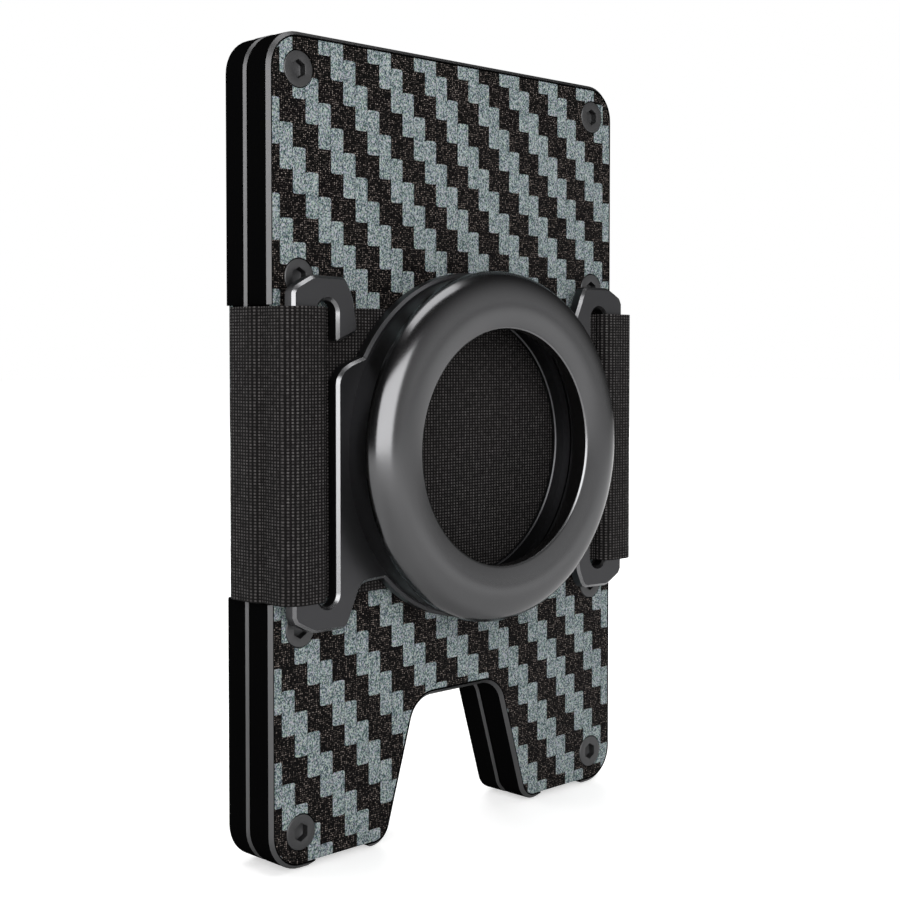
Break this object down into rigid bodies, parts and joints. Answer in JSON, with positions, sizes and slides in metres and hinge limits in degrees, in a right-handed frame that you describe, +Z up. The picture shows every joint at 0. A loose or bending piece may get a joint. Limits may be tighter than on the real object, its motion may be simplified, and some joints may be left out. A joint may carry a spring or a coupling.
{
  "type": "minimalist wallet",
  "caption": "Slim card wallet of two screwed carbon-faced panels on an elastic band, with a money clip on the front and a round tag holder on the back.",
  "frame": {"origin": "middle of the bottom of the box, on the ground between the two legs", "axes": "+Z up the long side of the plates, +X across their width, money clip on -Y and tag holder on +Y"},
  "size_m": [0.056, 0.0194, 0.0867],
  "materials": {
    "black_plate": "black anodised, satin gloss, edges a little brighter",
    "carbon_weave": "two by two twill of grey-blue and black tows, dull and speckled",
    "screw_steel": "satin dark steel with a hexagon socket",
    "clip_steel": "satin gunmetal spring steel",
    "holder_gunmetal": "satin gunmetal with bright chamfers",
    "band_webbing": "ribbed black elastic webbing"
  },
  "bodies": {
    "back_panel": {"back_inner_plate": "black_plate", "back_outer_plate": "black_plate", "back_carbon_sheet": "carbon_weave", "back_screw_1": "screw_steel", "back_screw_2": "screw_steel", "back_screw_3": "screw_steel", "back_screw_4": "screw_steel", "back_screw_5": "screw_steel", "back_screw_6": "screw_steel", "back_screw_7": "screw_steel", "back_screw_8": "screw_steel", "holder_frame": "holder_gunmetal", "band_back_run": "band_webbing", "band_loop_left": "band_webbing", "band_loop_right": "band_webbing", "band_side_left": "band_webbing", "band_side_right": "band_webbing"},
    "front_panel": {"front_inner_plate": "black_plate", "front_outer_plate": "black_plate", "front_carbon_sheet": "carbon_weave", "front_screw_1": "screw_steel", "front_screw_2": "screw_steel", "front_screw_3": "screw_steel", "front_screw_4": "screw_steel", "front_screw_5": "screw_steel", "front_screw_6": "screw_steel", "front_screw_7": "screw_steel", "front_screw_8": "screw_steel", "band_front_run": "band_webbing", "money_clip_tab": "clip_steel"},
    "clip_leaf": {"money_clip_leaf": "clip_steel"},
    "bezel": {"holder_bezel": "holder_gunmetal"}
  },
  "joints": [
    {"name": "panel_spread", "type": "slide", "parent": "back_panel", "child": "front_panel", "axis": [0, -1, 0], "range_m": [0, 0.009], "stiffness_N_per_m": 800, "springref_m": -0.002, "deforming": ["band_side_left", "band_side_right"]},
    {"name": "clip_flex", "type": "hinge", "parent": "front_panel", "child": "clip_leaf", "pos_m": [0, -0.00728, 0.08495], "axis": [-1, 0, 0], "range_deg": [0, 8], "stiffness_Nm_per_rad": 1.8, "springref_deg": -1.72},
    {"name": "bezel_turn", "type": "hinge", "parent": "back_panel", "child": "bezel", "pos_m": [0, 0.00697, 0.043], "axis": [0, 1, 0], "range_deg": [0, 90]}
  ]
}
